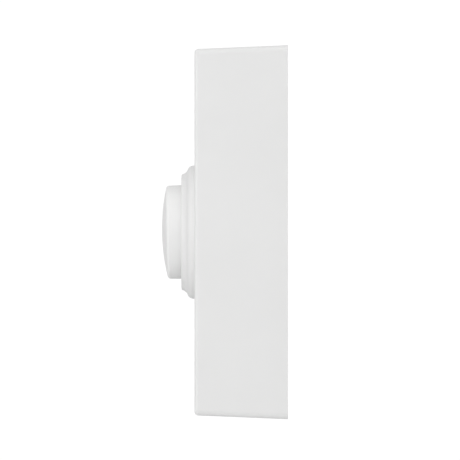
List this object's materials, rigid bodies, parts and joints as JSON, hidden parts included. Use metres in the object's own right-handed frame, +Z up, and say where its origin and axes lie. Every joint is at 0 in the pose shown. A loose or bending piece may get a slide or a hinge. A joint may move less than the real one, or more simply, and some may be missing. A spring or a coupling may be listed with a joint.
{
  "type": "video doorbell",
  "caption": "Upright drafted box doorbell with a domed push button in a moulded round bezel, a camera window and a hook-on wall plate.",
  "frame": {"origin": "centre of the wall plate's back face, where the doorbell meets the wall, level with the button's centre", "axes": "+Z up the wall, the front and its button face -Y, +Y into the wall, +X to the right seen from the front"},
  "size_m": [0.052, 0.0408, 0.12],
  "materials": {
    "white_plastic": "fine satin moulding",
    "button_plastic": "smooth satin moulding",
    "grey_plastic": "satin",
    "black_plastic": "satin",
    "milky_plastic": "translucent, satin",
    "dark_glass": "polished, dark tint",
    "clear_glass": "polished",
    "seal_rubber": "matte",
    "circuit_board": "green solder mask",
    "chip": "moulded, matte",
    "amber_film": "polyimide film",
    "steel": "plated",
    "brass": "machined",
    "led_white": "clear potting over phosphor",
    "cone_film": "pressed film",
    "woven_wire": "fine woven wire, black coat",
    "battery_wrap": "heat-shrink wrap",
    "lead_cover": "insulated wire"
  },
  "bodies": {
    "bracket": {"wall_plate": "grey_plastic", "plate_insert": "brass"},
    "unit": {"front_housing": "white_plastic", "bezel_ring": "white_plastic", "light_ring": "milky_plastic", "lens_window": "dark_glass", "window_mask": "black_plastic", "pir_lens": "milky_plastic", "pir_hood": "black_plastic", "rear_cover": "grey_plastic", "rear_gasket": "seal_rubber", "inner_frame": "black_plastic", "lens_barrel": "black_plastic", "lens_glass": "clear_glass", "lens_holder": "black_plastic", "lens_seal": "seal_rubber", "image_sensor": "chip", "camera_board": "circuit_board", "ir_board": "circuit_board", "ir_leds": "clear_glass", "light_sensor": "chip", "camera_flex": "amber_film", "main_board": "circuit_board", "board_chips": "chip", "shield_can": "steel", "wifi_antenna": "brass", "ring_leds": "led_white", "pir_sensor": "steel", "microphone": "steel", "microphone_boot": "seal_rubber", "switch_body": "chip", "reset_switch": "steel", "usb_socket": "steel", "speaker_basket": "black_plastic", "speaker_cone": "cone_film", "speaker_magnet": "steel", "speaker_gasket": "seal_rubber", "speaker_mesh": "woven_wire", "battery_pack": "battery_wrap", "battery_pad": "seal_rubber", "battery_leads": "lead_cover", "battery_plug": "milky_plastic", "terminal_screws": "steel", "terminal_plates": "brass", "terminal_pins": "brass", "cover_screws": "steel", "frame_screws": "steel", "camera_screws": "steel", "hinge_pin": "steel", "button_spring": "steel"},
    "button": {"button_cap": "button_plastic"},
    "plunger": {"switch_plunger": "black_plastic"},
    "screw_seal": {"screw_o_ring": "seal_rubber"},
    "lock_screw": {"security_screw": "steel"},
    "reset": {"reset_button": "grey_plastic"},
    "port_cover": {"port_door": "white_plastic", "port_plug": "seal_rubber"}
  },
  "joints": [
    {"name": "unit_lift", "type": "slide", "parent": "bracket", "child": "unit", "axis": [0, 0, 1], "range_m": [0, 0.004]},
    {"name": "button_press", "type": "slide", "parent": "unit", "child": "button", "axis": [0, 1, 0], "range_m": [0, 0.0013], "stiffness_N_per_m": 1000, "springref_m": -0.001, "deforming": ["button_spring"]},
    {"name": "plunger_press", "type": "slide", "parent": "unit", "child": "plunger", "axis": [0, 1, 0], "range_m": [0, 0.0013]},
    {"name": "lock_screw_drop", "type": "slide", "parent": "unit", "child": "screw_seal", "axis": [0, 0, -1], "range_m": [0, 0.0038]},
    {"name": "lock_screw_turn", "type": "hinge", "parent": "screw_seal", "child": "lock_screw", "pos_m": [0, -0.0066, -0.057], "axis": [0, 0, -1], "range_deg": [0, 2736]},
    {"name": "reset_press", "type": "slide", "parent": "unit", "child": "reset", "axis": [0, -1, 0], "range_m": [0, 0.0004], "stiffness_N_per_m": 1500, "springref_m": -0.0003},
    {"name": "port_cover_swing", "type": "hinge", "parent": "unit", "child": "port_cover", "pos_m": [0, -0.0174, -0.05855], "axis": [1, 0, 0], "range_deg": [0, 90]}
  ],
  "couplings": [
    {"joint": "plunger_press", "follows": "button_press", "ratio": 1},
    {"joint": "lock_screw_turn", "follows": "lock_screw_drop", "rad_per_m": 12566}
  ]
}
